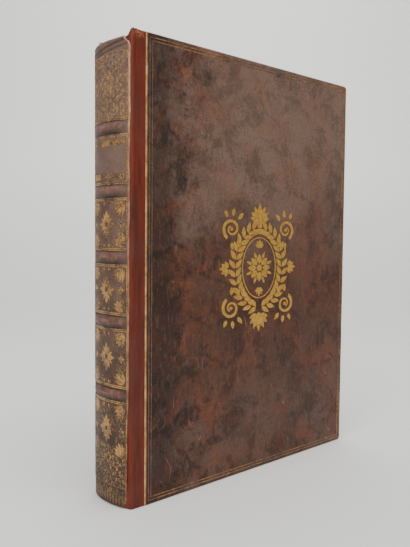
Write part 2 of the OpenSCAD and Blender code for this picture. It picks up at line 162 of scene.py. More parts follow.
def mirrored(points, faces):
    """The rear cover's piece from the front cover's: Y changes sign, and the faces turn to stay outward."""
    return points * np.array([1.0, -1.0, 1.0]), faces[:, ::-1]


def make_piece(name, points, faces, finish, slot, sharp=50.0, **fields):
    """A mesh object from points in millimetres, with one number per point for each named field."""
    mesh = bpy.data.meshes.new(name)
    mesh.from_pydata((points * MM).tolist(), [], faces.tolist())
    mesh.polygons.foreach_set("use_smooth", np.ones(len(mesh.polygons), dtype=bool))
    for field, values in fields.items():
        mesh.attributes.new(field, "FLOAT", "POINT").data.foreach_set("value", values.astype(np.float32))
    mesh.set_sharp_from_angle(angle=math.radians(sharp))
    mesh.materials.append(finish.material)
    piece = bpy.data.objects.new(name, mesh)
    bpy.context.scene.collection.objects.link(piece)
    print(f"{name}: {len(mesh.vertices)} points, {len(mesh.polygons)} faces")
    return piece


print("faces of a grid of 3 by 4 points:", len(grid_faces(3, 4)))

# %% [markdown]
# Three short formulas shape most of the small things. A bell stands round one value, a fade falls away from
# an edge, and a ripple is the slow unevenness that no hand-made sheet is without.

# %% Helpers for small shapes
def bell(value, centre, width):
    """1 at the centre, falling to both sides: e to the minus square of (value - centre) / width."""
    return np.exp(-((value - centre) / width) ** 2)


def fade(distance, reach):
    """1 at no distance, falling away from there: e to the minus distance / reach."""
    return np.exp(-distance / reach)


def ripple(a, b, seed, *periods):
    """Mean of sine waves over two lengths, three a period. A seed sets their directions and starts."""
    rng = np.random.default_rng(seed)
    total = np.zeros(np.broadcast(a, b).shape)
    for period in periods:
        for _ in range(3):
            turn, start = rng.uniform(0, 2 * np.pi, 2)
            total += np.sin(2 * np.pi * (a * np.cos(turn) + b * np.sin(turn)) / period + start)
    return total / (3 * len(periods))


print("a bell one width from its centre:", round(float(bell(1.0, 0.0, 1.0)), 3))

# %% [markdown]
# Colour in a material is best kept in one place. The photograph's colours are what the eye sees, so each is
# turned from that scale to the straight scale of light that the shader works in. A finish builds its tone
# up like a dyer: it starts with a ground colour and lays others over shares of it.

# %% Helpers for node materials
def seen(red, green, blue):
    """A colour given as 0 to 255 on a screen, turned to linear light."""
    c = np.array([red, green, blue]) / 255.0
    linear = np.where(c <= 0.04045, c / 12.92, ((c + 0.055) / 1.055) ** 2.4)
    return (*linear.tolist(), 1.0)


class Finish:
    """A material, short words for the nodes that it is made of, and the tone built up so far."""

    def __init__(self, name, roughness=0.5, **sockets):
        self.material = bpy.data.materials.new(name)
        self.material.use_nodes = True
        self.tree = self.material.node_tree
        self.shader = self.tree.nodes["Principled BSDF"]
        self.shader.inputs["Roughness"].default_value = roughness
        for socket, value in sockets.items():
            self.shader.inputs[socket.replace("_", " ")].default_value = value
        self.place = self.add("ShaderNodeTexCoord").outputs["Object"]
        self.tone = None

    def add(self, kind, **inputs):
        """A node of some kind with values or links for its named inputs."""
        node = self.tree.nodes.new(kind)
        for key, value in inputs.items():
            self.plug(node.inputs[key], value)
        return node

    def plug(self, socket, value):
        """A link where the value comes from another node, and otherwise the value itself."""
        if isinstance(value, bpy.types.NodeSocket):
            self.tree.links.new(value, socket)
        else:
            socket.default_value = value

    def steer(self, name, value):
        """Plugs a value into the named input of the shader."""
        self.plug(self.shader.inputs[name], value)

    def calc(self, operation, a, b=0.0, clamp=False):
        """One step of arithmetic on one or two values."""
        node = self.tree.nodes.new("ShaderNodeMath")
        node.operation = operation
        node.use_clamp = clamp
        self.plug(node.inputs[0], a)
        self.plug(node.inputs[1], b)
        return node.outputs[0]

    def times(self, a, b):
        """a * b"""
        return self.calc("MULTIPLY", a, b)

    def plus(self, a, b, clamp=False):
        """a + b, kept between 0 and 1 if clamped"""
        return self.calc("ADD", a, b, clamp)

    def minus(self, a, b, clamp=False):
        """a - b, kept between 0 and 1 if clamped"""
        return self.calc("SUBTRACT", a, b, clamp)

    def axes(self):
        """X, Y and Z of the object, in metres."""
        node = self.add("ShaderNodeSeparateXYZ", Vector=self.place)
        return node.outputs["X"], node.outputs["Y"], node.outputs["Z"]

    def field(self, name):
        """A number that the mesh carries at each of its points."""
        node = self.tree.nodes.new("ShaderNodeAttribute")
        node.attribute_name = name
        return node.outputs["Fac"]

    def stretch(self, x=1.0, y=1.0, z=1.0, shift=(0.0, 0.0, 0.0), turn=(0.0, 0.0, 0.0)):
        """Object coordinates, scaled along each axis, turned and shifted."""
        node = self.add("ShaderNodeMapping", Vector=self.place, Scale=(x, y, z), Location=shift,
                        Rotation=turn)
        return node.outputs["Vector"]

    def noise(self, size, detail=3.0, rough=0.55, distort=0.0, **place):
        """Cloudy values from 0 to 1, in clouds about size millimetres across, stretched if asked for."""
        vector = self.stretch(**place) if place else self.place
        node = self.add("ShaderNodeTexNoise", Vector=vector, Scale=1000.0 / size, Detail=detail,
                        Roughness=rough, Distortion=distort)
        return node.outputs["Fac"]

    def cells(self, size, feature="F1"):
        """Distance within cells of about size millimetres, from their middles or to their edges."""
        node = self.add("ShaderNodeTexVoronoi", Vector=self.place, Scale=1000.0 / size)
        node.feature = feature
        return node.outputs["Distance"]

    def span(self, value, low, high, to_low=0.0, to_high=1.0):
        """Value between low and high, mapped smoothly to the other two."""
        node = self.tree.nodes.new("ShaderNodeMapRange")
        node.interpolation_type = "SMOOTHSTEP"
        for socket, v in zip(node.inputs, (value, low, high, to_low, to_high)):
            self.plug(socket, v)
        return node.outputs["Result"]

    def clouds(self, low, high, *noise, **place):
        """Noise cut between two limits: 0 where it lies below low, 1 above high."""
        return self.span(self.noise(*noise, **place), low, high)

    def blend(self, share, a, b):
        """Colour a where the share is 0 and b where it is 1."""
        node = self.tree.nodes.new("ShaderNodeMix")
        node.data_type = "RGBA"
        for socket, value in ((0, share), (6, a), (7, b)):
            self.plug(node.inputs[socket], value)
        return node.outputs[2]

    def two_tone(self, first, second, size, detail=4.0, rough=0.6):
        """Two colours that change places in clouds of about size millimetres."""
        return self.blend(self.clouds(0.3, 0.7, size, detail, rough), seen(*first), seen(*second))

    def lay(self, share, colour):
        """Lays a colour over a share of the tone."""
        self.tone = self.blend(share, self.tone, seen(*colour) if isinstance(colour, tuple) else colour)

    def gloss(self, low, high, *noise):
        """Roughness that wanders between two values with the noise."""
        self.steer("Roughness", self.span(self.noise(*noise), 0.3, 0.7, low, high))

    def bump(self, *layers):
        """Relief from (height, strength, depth in millimetres), each on top of the one before."""
        normal = None
        for height, strength, depth in layers:
            node = self.add("ShaderNodeBump", Height=height, Strength=strength, Distance=depth * MM)
            if normal is not None:
                self.plug(node.inputs["Normal"], normal)
            normal = node.outputs["Normal"]
        self.steer("Normal", normal)

    def paint(self):
        """Gives the tone to the shader and prints how many nodes the material has."""
        self.steer("Base Color", self.tone)
        print(f"{self.material.name}: {len(self.tree.nodes)} nodes")


print("a middle grey of 128 in linear light:", round(seen(128, 128, 128)[0], 3))

# %% [markdown]
# Mottled calf was sprinkled with iron salts, handled for centuries and polished again and again. So its
# colour is built from the large to the small. First come the grounds, a greyer and lighter upper half, which
# is a painted sheen and painted light from above, and a redder lower one that greys again near the tail, then
# warm patches that gather towards the spine and ruddy ones that gather in the lower half.

# %% Finish of the covers: grounds and warm patches
calf = Finish("first_calf", Specular_IOR_Level=0.22)
x, _, z = calf.axes()
uneven_z = calf.plus(z, calf.times(calf.minus(calf.noise(75, 5, 0.62), 0.5), 0.2))
uneven_x = calf.plus(x, calf.times(calf.minus(calf.noise(38, 6, 0.68), 0.5), 0.16))
# Painted light: the greyer, lighter upper half stands for sheen and light falling from above.
high = calf.span(uneven_z, 0.15, 0.27)
left = calf.span(uneven_x, -0.035, -0.085)
calf.tone = calf.blend(high, seen(78, 50, 39), seen(113, 91, 79))
calf.lay(calf.times(calf.span(uneven_z, 0.11, 0.03), 0.4), (108, 84, 74))
patch = calf.clouds(0.47, 0.62, 26, 7, 0.7, 0.6)
calf.lay(calf.times(patch, calf.plus(calf.times(left, 0.5), 0.22)), (128, 71, 43))
ruddy = calf.clouds(0.48, 0.62, 44, 6, 0.68, 0.5, shift=(0.31, 0.0, 0.52))
calf.lay(calf.times(ruddy, calf.minus(0.6, calf.times(high, 0.45))), (102, 55, 39))
print("grounds and patches:", len(calf.tree.nodes), "nodes")

# %% [markdown]
# Iron stains go almost black. They crowd beside the joint and thin out in the upper half. Over them lie the
# fine sprinkle, the paler fibres that brushing raised, and fine cracks where the grain has dried.

# %% Finish of the covers: stains, sprinkle and cracks
dark_share = calf.minus(calf.plus(calf.times(left, 0.42), 0.54), calf.times(high, 0.24), clamp=True)
stain = calf.clouds(0.48, 0.6, 20, 9, 0.75, 0.4, shift=(0.13, 0.7, 0.41))
calf.lay(calf.times(stain, dark_share), (34, 21, 18))
blot = calf.clouds(0.5, 0.64, 64, 9, 0.72, 0.3, shift=(0.5, 0.1, 0.77))
calf.lay(calf.times(blot, calf.times(dark_share, 0.85)), (39, 25, 22))
spot = calf.clouds(0.63, 0.7, 8, 4, 0.6, 0.2, shift=(0.6, 0.2, 0.1))
calf.lay(calf.times(spot, calf.plus(calf.times(left, 0.6), 0.2)), (36, 28, 31))
near_joint = calf.span(calf.plus(x, calf.times(calf.noise(12, 6, 0.7), 0.04)), -0.048, -0.078)
calf.lay(calf.times(near_joint, 0.7), (38, 26, 23))
calf.lay(calf.times(calf.clouds(0.5, 0.66, 1.7, 6, 0.8), 0.42), (42, 30, 27))
brushed = calf.clouds(0.5, 0.7, 2.4, 6, 0.8, 0.0, z=0.35, shift=(0.9, 0.3, 0.2))
calf.lay(calf.times(brushed, 0.3), (142, 106, 80))
cracks = calf.times(calf.span(calf.cells(3.2, feature="DISTANCE_TO_EDGE"), 0.07, 0.01),
                    calf.clouds(0.44, 0.6, 16, 4, 0.65, 0.0, shift=(0.7, 0.4, 0.2)))
calf.lay(calf.times(cracks, 0.5), (36, 26, 24))
print("with stains and cracks:", len(calf.tree.nodes), "nodes")

# %% [markdown]
# A scratch is a thin line, and noise has such lines in it: the places where it passes through one half. Use
# has also rubbed the edges and corners down to the red of the skin, and the cut edge of the lifted calf
# shows its pale inside.

# %% Finish of the covers: scratches, rubbed edges and relief
off_half = calf.minus(calf.noise(38, 2, 0.5, 0.4, z=0.32, turn=(0.0, 0.6, 0.0)), 0.5)
scratch = calf.times(calf.span(calf.calc("ABSOLUTE", off_half), 0.0035, 0.0),
                     calf.clouds(0.54, 0.66, 20, 3, 0.6, 0.0, shift=(0.2, 0.1, 0.8)))
calf.lay(calf.times(scratch, 0.7), (160, 118, 88))
rubbed = calf.plus(calf.field("rub"), calf.times(calf.noise(3.5, 6, 0.7), 0.9))
calf.lay(calf.span(rubbed, 0.8, 1.2), (128, 66, 44))
calf.lay(calf.field("cut_edge"), calf.two_tone((208, 158, 104), (150, 102, 66), 7))
calf.gloss(0.4, 0.62, 26, 5, 0.65)
calf.bump((calf.noise(9, 3), 0.35, 0.35), (calf.cells(0.8), 0.25, 0.07), (scratch, -0.6, 0.08),
          (cracks, -0.5, 0.1))
calf.paint()

# %% [markdown]
# The leather of the first spine has stood in the light. It has lost its red and gone the grey brown of dust.
# It is painted darker towards the tail and lighter at the head, a painted shade below and painted light from
# above. Round the larger tools the finisher put fine curls and sprigs, worn to traces now. They follow the
# lines on which a cloudy value is one half, in the parts that the field named tooled marks.

# %% Finish of the first spine: ground and traces of tooling
old_calf = Finish("spine_calf", roughness=0.55, Specular_IOR_Level=0.28)
z = old_calf.axes()[2]
faded = old_calf.clouds(0.35, 0.65, 22, 5, 0.65, 0.4)
old_calf.tone = old_calf.blend(faded, seen(78, 56, 48), seen(106, 82, 70))
old_calf.lay(old_calf.times(old_calf.clouds(0.5, 0.7, 7, 6, 0.7), 0.5), (74, 52, 46))
old_calf.lay(old_calf.times(old_calf.clouds(0.55, 0.7, 2.2, 5, 0.75), 0.55), (58, 40, 36))
# Painted shade towards the tail and painted light at the head.
old_calf.lay(old_calf.times(old_calf.span(z, 0.25, 0.0), 0.85), (52, 35, 27))
old_calf.lay(old_calf.times(old_calf.span(z, 0.22, 0.262), 0.2), (138, 116, 103))
off_half = old_calf.calc("ABSOLUTE", old_calf.minus(old_calf.noise(4.6, 1.5, 0.5, 1.6), 0.5))
traces = old_calf.times(old_calf.span(off_half, 0.045, 0.012), old_calf.field("tooled"))
left_gold = old_calf.span(old_calf.noise(1.6, 5, 0.7, 0.0, shift=(0.3, 0.3, 0.3)), 0.6, 0.46)
old_calf.lay(old_calf.times(traces, left_gold), (170, 130, 82))
print("ground and traces:", len(old_calf.tree.nodes), "nodes")

# %% [markdown]
# The same finish serves the bands, which the field named band makes a little warmer, with fine lines across
# them. A field lays painted shade in the corners beside the bands, under each band, in two creases under the
# head, in a small hole and along the foot, where it is a painted contact shadow. Hands and shelves have
# rubbed the tops, the ends and the sides lighter, and the upper side of each band is lighter still, a painted
# highlight.

# %% Finish of the first spine: bands, painted shade, rubbing and a painted highlight
band_share = old_calf.field("band")
old_calf.lay(old_calf.times(band_share, 0.85), old_calf.two_tone((78, 50, 46), (112, 78, 68), 6, 5, 0.65))
hatch = old_calf.clouds(0.5, 0.62, 1.6, 3, 0.7, 0.0, z=0.25)
old_calf.lay(old_calf.times(old_calf.times(band_share, hatch), 0.4), (146, 106, 88))
# Painted shade: beside and under the bands, in the head creases, in a small hole and along the foot.
old_calf.lay(old_calf.field("dirt"), (42, 28, 26))
rubbed = old_calf.plus(old_calf.field("rub"), old_calf.times(old_calf.noise(3, 6, 0.7), 0.9))
# Rubbing is real wear, and the upper side of each band is also given a painted highlight.
old_calf.lay(old_calf.span(rubbed, 0.9, 1.35), (146, 112, 88))
old_calf.lay(old_calf.field("cut_edge"), old_calf.two_tone((206, 156, 112), (150, 100, 70), 6))
old_calf.gloss(0.42, 0.62, 14, 5, 0.65)
old_calf.bump((old_calf.noise(6, 4), 0.4, 0.3), (old_calf.cells(0.7), 0.3, 0.07),
              (old_calf.noise(1.1, 3, 0.6, 0.0, z=0.25), 0.3, 0.08))
old_calf.paint()

# %% [markdown]
# The repair is in new calf, dyed a red brown. It is smoother than the old leather, with long soft streaks
# from the paring knife. Painted shade darkens it in the joint's groove, at its folded ends and along a line
# on the board.

# %% Finish: new leather of the repair
new_calf = Finish("new_leather", Specular_IOR_Level=0.28)
streak = new_calf.noise(5, 4, 0.6, 0.2, z=0.12)
new_calf.tone = new_calf.blend(new_calf.span(streak, 0.3, 0.7), seen(78, 26, 13), seen(112, 40, 18))
new_calf.lay(new_calf.times(new_calf.clouds(0.45, 0.7, 30, 4, 0.6), 0.5), (96, 50, 40))
new_calf.lay(new_calf.times(new_calf.clouds(0.56, 0.7, 1.8, 4, 0.7), 0.35), (62, 24, 18))
# Painted shade: in the joint's groove, at the folded ends and along a line on the board.
new_calf.lay(new_calf.times(new_calf.field("fold"), 0.6), (58, 24, 20))
broken_grain = new_calf.clouds(0.42, 0.56, 2.4, 5, 0.7)
new_calf.lay(new_calf.times(new_calf.field("crack"), broken_grain), (176, 104, 66))
new_calf.gloss(0.42, 0.6, 9, 4, 0.6)
new_calf.bump((new_calf.noise(4, 3), 0.25, 0.2), (new_calf.cells(0.6), 0.25, 0.05), (streak, 0.2, 0.1))
new_calf.paint()

# %% [markdown]
# Gold leaf is only a film. Where it was rubbed away the leather shows, so one finish holds both, and clouds
# of noise decide which of them is seen. Metal and leather also differ in gloss, and the same clouds steer
# that.

# %% Finish: worn gold, over the colour of the leather that carries it
MORE_WEAR = {"joint": (0, -0.1, -0.108, 0.5), "tail": (2, 0.05, 0.0, 0.75)}


def worn_gold(name, leather, bright, dull, least, most, size, part):
    """Gold that is worn off where clouds of about size millimetres lie above the two limits. The wear grows
    in the named part, along one axis and between two places on it, in metres, up to a share."""
    gold = Finish(name, roughness=0.4, Metallic=1.0)
    wear = gold.span(gold.plus(gold.times(gold.noise(size, 6, 0.7), 0.6),
                               gold.times(gold.noise(16, 3, 0.6), 0.4)), least, most)
    axis, begins, full, share = MORE_WEAR[part]
    wear = gold.plus(wear, gold.times(gold.span(gold.axes()[axis], begins, full), share), clamp=True)
    gold.tone = gold.blend(wear, gold.two_tone(bright, dull, 2.5, 4, 0.7), seen(*leather))
    gold.steer("Metallic", gold.minus(0.4, gold.times(wear, 0.4)))
    gold.steer("Roughness", gold.plus(0.38, gold.times(wear, 0.15)))
    gold.bump((gold.noise(0.9, 3), 0.35, 0.06))
    gold.paint()
    return gold


cover_gold = worn_gold("cover_gold", (70, 48, 38), (208, 162, 66), (158, 112, 42), 0.56, 0.66, 2.2, "tail")
spine_gold = worn_gold("spine_gold", (66, 46, 38), (206, 158, 90), (148, 106, 58), 0.47, 0.56, 0.9, "tail")
faint_gold = worn_gold("faint_gold", (76, 54, 44), (172, 128, 76), (120, 84, 54), 0.44, 0.58, 1.6, "joint")

# %% [markdown]
# Leaves seen on edge are hundreds of thin lines, all the same way. Noise that is squeezed hard across the
# leaves and drawn out along them gives such lines without a line being modelled. The outermost leaves are
# seen flat when a cover opens, and the distance from the middle of the book tells the two apart.

# %% Finish: pages
pages = Finish("page_edges", roughness=0.8)
lines = pages.noise(22, 4, 0.7, 0.0, x=0.35, y=90.0, z=0.06)
pages.tone = pages.blend(pages.span(lines, 0.3, 0.7), seen(176, 152, 116), seen(222, 204, 170))
pages.lay(pages.times(pages.clouds(0.5, 0.75, 40, 4, 0.6), 0.5), (158, 128, 92))
y = pages.axes()[1]
flat_leaf = pages.span(pages.calc("ABSOLUTE", y), 0.01925, 0.01938)
pages.lay(flat_leaf, pages.two_tone((224, 210, 182), (208, 188, 152), 50))
pages.bump((pages.times(lines, pages.minus(1.0, flat_leaf)), 0.7, 0.35), (pages.noise(3, 3), 0.2, 0.2))
pages.paint()

# %% [markdown]
# What lies under the leather is finished plainly: foxed paper, pasteboard whose sheets show as layers on
# its edges, twisted hemp, and silk wound in two colours round the headbands.

# %% Finishes: endpapers, boards, cords and silk
paper = Finish("endpaper", roughness=0.85)
paper.tone = paper.two_tone((226, 212, 184), (206, 186, 150), 50)
paper.lay(paper.times(paper.clouds(0.66, 0.76, 6, 5, 0.6), 0.5), (160, 118, 76))
paper.bump((paper.noise(1.2, 4, 0.7), 0.25, 0.08), (paper.noise(9, 3), 0.2, 0.3))
paper.paint()

pasteboard = Finish("pasteboard", roughness=0.9)
layers = pasteboard.noise(16, 4, 0.65, 0.0, x=0.4, y=14.0, z=0.4)
pasteboard.tone = pasteboard.blend(layers, seen(128, 108, 84), seen(176, 156, 126))
pasteboard.bump((layers, 0.5, 0.3), (pasteboard.noise(1.0, 4), 0.3, 0.15))
pasteboard.paint()

hemp = Finish("hemp_cord", roughness=0.9)
twist = hemp.noise(3.0, 3, 0.6, 0.3, z=3.0, turn=(0.5, 0.0, 0.0))
hemp.tone = hemp.blend(twist, seen(150, 124, 86), seen(204, 182, 142))
hemp.bump((twist, 0.7, 0.5))
hemp.paint()

SILK_TURN = 0.0024
silk = Finish("headband_silk", Sheen_Weight=0.3)
y = silk.axes()[1]
wave = silk.calc("SINE", silk.times(y, 2 * math.pi / SILK_TURN))
silk.tone = silk.blend(silk.span(wave, -0.25, 0.25), seen(128, 46, 38), seen(206, 188, 150))
silk.lay(silk.times(silk.noise(5, 4), 0.5), (96, 60, 46))
silk.bump((silk.noise(0.5, 3), 0.3, 0.06))
silk.paint()

# %% [markdown]
# The back of the book is a large arc with a small arc at each shoulder, then a flat up to the joint. Every
# layer follows that line, so one function gives a point from how far round it lies and how far out.

# %% Shape: line of the back
def back_point(run, out, z):
    """Point at a run from the middle of the back, positive towards the front cover, and at a distance out.
    Arc: centre + (radius + out) * (-cos a, -sin a). Past the shoulders the line goes on straight."""
    run, out, z = np.broadcast_arrays(run, out, z)
    far, side = np.abs(run), np.sign(run)
    crown = far <= CROWN_RUN
    a = np.where(crown, far / ROUND_R, ROUND_A + (far - CROWN_RUN) / SHOULDER_R)
    a = np.minimum(a, np.pi / 2)
    radius = np.where(crown, ROUND_R, SHOULDER_R) + out
    centre_x = np.where(crown, ROUND_X, -SHOULDER_FLAT + np.maximum(far - SHOULDER_RUN, 0))
    centre_y = np.where(crown, 0.0, RISE)
    px = centre_x - radius * np.cos(a)
    py = -side * (centre_y + radius * np.sin(a))
    return np.stack([px + JOINT_X, py, z], axis=-1)


def band_gap(z):
    """Distance of a height from the middle of the nearest band, and which band that is."""
    gaps = np.abs(z[..., None] - BAND_Z)
    return gaps.min(axis=-1), gaps.argmin(axis=-1)


def band_height(run, z):
    """Height of the bands over the first spine: a half round section that follows a tighter arc, shifted
    outwards, so that it sinks into the back at both ends. From the share of its half width called foot at,
    a falling curve softens its feet."""
    phi = run / ROUND_R
    t = band_gap(z)[0] / BAND_HALF
    rise = np.where(t < FOOT_AT, np.sqrt(np.maximum(1 - np.minimum(t, 1.0) ** 2, 0.0)),
                    FOOT_RISE * fade((t - FOOT_AT) * BAND_HALF, FOOT_REACH))
    inner = ROUND_R - BAND_SHIFT + OLD_T + BAND_RISE * rise
    reach = BAND_SHIFT * np.cos(phi) + np.sqrt(np.maximum(inner ** 2 - (BAND_SHIFT * np.sin(phi)) ** 2, 0.0))
    lift = np.maximum(reach - ROUND_R - OLD_T, 0.0)
    return np.where(t < FOOT_END, lift, 0.0)


def spine_out(run, z):
    """Outside of the first spine: leather, bands and a slight unevenness."""
    return OLD_T + band_height(run, z) + 0.07 * ripple(run, z, 3, 18.0, 41.0)


print("top of a band:", round(float(spine_out(np.array([0.0]), BAND_Z[:1])[0]), 2), "mm outside the round")

# %% [markdown]
# The first spine was lifted off the old back, pared thin round its edges and pasted on the new leather. So
# it ends at both sides in a ragged cut with a pale, sloping edge, it has lost a scrap at the head beside
# the front joint, and its corners at the tail are worn round. One grid covers the outside, a second lies
# under it, and the two are joined all round.

# %% Shape: first spine
SPINE_ROWS, SPINE_COLUMNS = 330, 57
PASTE_DEPTH = 0.05
PARED = [0.955, 0.975, 0.99, 1.0]


def spine_edge(z, side):
    """Run from the middle of the back to the cut edge at height z, on side 0 or 1, the front: ragged, drawn
    in by the lost scrap at the front and by the round corner at the tail."""
    edge = np.interp(z, [0, 50, 100, 230, 350], [20.2, 21.0, 21.9, 22.4, 23.0])
    edge = edge + 0.55 * ripple(z, z * 0, 11 + side, 9.0, 23.0, 60.0)
    scrap = np.interp(SPINE_Z1 - z, [0, 2.6, 4, 6, 8], [5.0, 4.0, 1.5, 0.5, 0.0])
    worn = 2.4 * np.maximum(0.0, 1 - (z - SPINE_Z0) / 7.0) ** 2
    return edge - side * scrap - worn


def to_head_line(run, z):
    """Height moved near the head, so that the top edge falls from the front joint towards the rear one."""
    fall = np.interp(run, [-22.6, -19.5, -10.0, 8.0, 20.0], [-1.0, -0.3, 0.0, 0.2, 1.0])
    return z + fall * np.clip((z - SPINE_Z1 + 30) / 30, 0, 1) ** 2


by_band = np.array([3.5, 3.9, 4.2, 4.6])
by_band = (BAND_Z[:, None] + np.concatenate([-by_band, by_band])).ravel()
rows_z = np.sort(np.concatenate([np.linspace(SPINE_Z0, SPINE_Z1, SPINE_ROWS), by_band]))
share = np.concatenate([-np.array(PARED[::-1]), np.linspace(-0.93, 0.93, SPINE_COLUMNS), PARED])
zz, cc = np.meshgrid(rows_z, share, indexing="ij")
run = cc * np.where(cc < 0, spine_edge(zz, 0), spine_edge(zz, 1))
ends = np.minimum(zz - SPINE_Z0, SPINE_Z1 - zz)
out = spine_out(run, zz) * np.interp(np.abs(cc), PARED, [1.0, 0.72, 0.4, 0.05])
out = out - 0.45 * np.maximum(0.0, 1 - ends) ** 2 - 0.3 * bell(zz, SPINE_Z1 - 3.4, 0.7)
height = to_head_line(run, zz)
spine_points, spine_faces = layered_shell(back_point(run, out, height),
                                          back_point(run, -PASTE_DEPTH, height))
print("grid of the first spine:", zz.shape, "highest point:", round(float(out.max()), 2), "mm")

# %% [markdown]
# The finish reads fields, which are numbers that the mesh carries at its points. They say where a band is,
# where shade is painted, where the leather is rubbed or given a painted highlight, and where the finisher's
# curls were. The curls fill the head panel, the foot and the lower part of the tail panel. Elsewhere they
# stand round an oval, and one panel is bare.

# %% Fields of the first spine
FOOT_ROLL, HEAD_RULES, BESIDE_BAND = 14.0, 9.0, 6.5
TAIL_PANEL, BARE_PANEL, HEAD_PANEL = 0, 4, 5
TAIL_FIELD_TOP = 46

lift = band_height(run, zz)
gap, nearest = band_gap(zz)
above = (zz > BAND_Z[nearest]).astype(float)
standing = np.clip(lift.max(axis=0) / BAND_RISE, 0, 1)
# Painted shade under and beside each band, in two creases under the head, in a small hole, and along the foot
# as a painted contact shadow.
shade_under_bands = (1 - above) * bell(gap, 3.2, 1.3) * standing
shade_beside_bands = bell(gap, 4.7, 0.8) * standing
# The band term is larger above each band's middle: a painted highlight on its upper side, over real wear.
rub = np.maximum.reduce([(0.45 + 0.3 * above) * np.clip(lift / BAND_RISE, 0, 1) ** 4, 0.75 * fade(ends, 2.2),
                         0.5 * fade((1 - np.abs(cc)) * OLD_EDGE, 1.6)])
shade_in_hole = (bell(run, 13.4, 1.0) * bell(zz, 37.5, 1.4)) ** 1.5
from_head = SPINE_Z1 - zz + 0.12 * (run - 10)
shade_in_creases = 0.9 * bell(from_head, 3.2, 0.9) + 0.7 * bell(from_head, 6.6, 0.8)
foot = 0.6 * fade(zz - SPINE_Z0, 2.5) + 0.2 * fade(zz - SPINE_Z0, 14.0)
dirt = np.clip(1.1 * shade_beside_bands + 0.8 * shade_under_bands + 1.4 * shade_in_hole + shade_in_creases + foot, 0, 1)

feet = np.concatenate([[SPINE_Z0 + FOOT_ROLL], BAND_Z + BESIDE_BAND])
tops = np.concatenate([BAND_Z - BESIDE_BAND, [SPINE_Z1 - HEAD_RULES]])
inside = np.minimum(zz[..., None] - feet, tops - zz[..., None])
panel = np.argmax(inside, axis=-1)
in_frame = np.minimum(inside.max(axis=-1), LINE_EDGE - 1.2 - np.abs(run))
oval = np.hypot(run / 9.0, (zz - 0.5 * (feet + tops)[panel]) / 13.0)
all_over = (panel == HEAD_PANEL) | ((panel == TAIL_PANEL) & (zz < TAIL_FIELD_TOP))
tooled = np.where(all_over, 0.95, 0.5 * np.clip((oval - 1.0) / 0.3, 0, 1)) * np.clip(in_frame / 0.8, 0, 1)
tooled = np.where(panel == BARE_PANEL, 0.0, tooled)
tooled = np.where(zz < SPINE_Z0 + FOOT_ROLL - 1, 0.85, tooled)
edge_light = np.interp(zz, [0, 50, 130, 270, 288], [0.3, 0.45, 0.6, 0.55, 1.0])
cut_edge = edge_light * np.interp(np.abs(cc), [0.945, 0.965, 1.0], [0.0, 1.0, 1.0])
print("share of the spine with traces of tooling:", round(float((tooled > 0.1).mean()), 2))

# %% [markdown]
# With points, faces and fields ready, one call makes the piece. It rides on the block of pages and takes
# the place of the plain solid.

# %% Piece: first spine with its raised bands
first_spine = make_piece("first_spine_leather", spine_points, spine_faces, old_calf, "spine_calf", sharp=60,
                         band=twice(np.clip(lift / 1.2, 0, 1)), rub=twice(rub), dirt=twice(dirt),
                         tooled=twice(tooled), cut_edge=twice(cut_edge))
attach(first_spine, "book_block")
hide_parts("first_spine")

# %% [markdown]
# The new leather is one skin in the real binding. It has to bend at the joints, so here it is a main piece
# that stays with the pages and a strip at each joint. The strip begins hidden under the first spine, goes
# over the joint and ends hidden under the calf of the cover, so no seam shows. At head and tail it is folded
# in, over the headband on one side of the joint and round the board on the other.

# %% Shape: leather folded in at head and tail
FOLD_R = 1.2
WALL_N, TURN_N = 90, 5
SPINE_SKIN_T, JOINT_SKIN_T = 0.3, 0.32


def fold_profile(depth, top):
    """Sections from the inner end of the head fold, over the rounded top, down the wall and into the tail
    fold, one row for each depth of fold and height of the top. Gives distance inwards and height."""
    turn = np.linspace(0, np.pi / 2, TURN_N)
    flat_in = FOLD_R + (depth[:, None] - FOLD_R) * np.array([[1.0, 0.67, 0.33]])
    round_in = np.broadcast_to(FOLD_R - FOLD_R * np.sin(turn), (len(depth), TURN_N))
    head_in = np.concatenate([flat_in, round_in], axis=1)
    drop = np.concatenate([np.zeros(flat_in.shape[1]), FOLD_R - FOLD_R * np.cos(turn)])
    down = np.linspace(0, 1, WALL_N)
    wall_z = (top[:, None] - FOLD_R - 1) * (1 - down) + (FOLD_R + 1) * down
    inward = np.concatenate([head_in, np.zeros((len(depth), WALL_N)), head_in[:, ::-1]], axis=1)
    tail_z = np.broadcast_to(drop[::-1], head_in.shape)
    return inward, np.concatenate([top[:, None] - drop, wall_z, tail_z], axis=1)


def folded_skin(run, out, depth, top, thickness):
    """The sections carried along the back: points at out - inward, and the same again one thickness inside.
    Also gives each point's height and its distance from head or tail."""
    inward, height = fold_profile(depth, top)
    from_end = np.clip(np.minimum(height, top[:, None] - height), 0, None)
    inner_z = np.where(inward > 0.01, height + np.where(height > BOARD_H / 2, -thickness, thickness), height)
    outer = back_point(run[:, None], out[:, None] - inward, height)
    inner = back_point(run[:, None], out[:, None] - inward - thickness, inner_z)
    return layered_shell(outer, inner) + (height, from_end)


inward, height = fold_profile(np.array([4.5]), np.array([SPINE_H]))
print("points along one section of the skin:", height.shape[1])

# %% [markdown]
# The main piece reaches from joint to joint. It lies a little deeper under the joint strips, so the two
# leathers never meet in one plane, and its folds are deepest over the headbands.

# %% Piece: new leather on the spine
SKIN_COLUMNS, UNDER_STRIPS = 97, 0.36
run = np.linspace(0.3 - JOINT_RUN, JOINT_RUN - 0.3, SKIN_COLUMNS)
out = -UNDER_STRIPS * np.clip((np.abs(run) - 16) / 1.5, 0, 1)
depth = np.interp(np.abs(run), [18.0, 22.0], [4.5, 1.9])
points, faces, height, from_end = folded_skin(run, out, depth, SPINE_H + 0 * run, SPINE_SKIN_T)
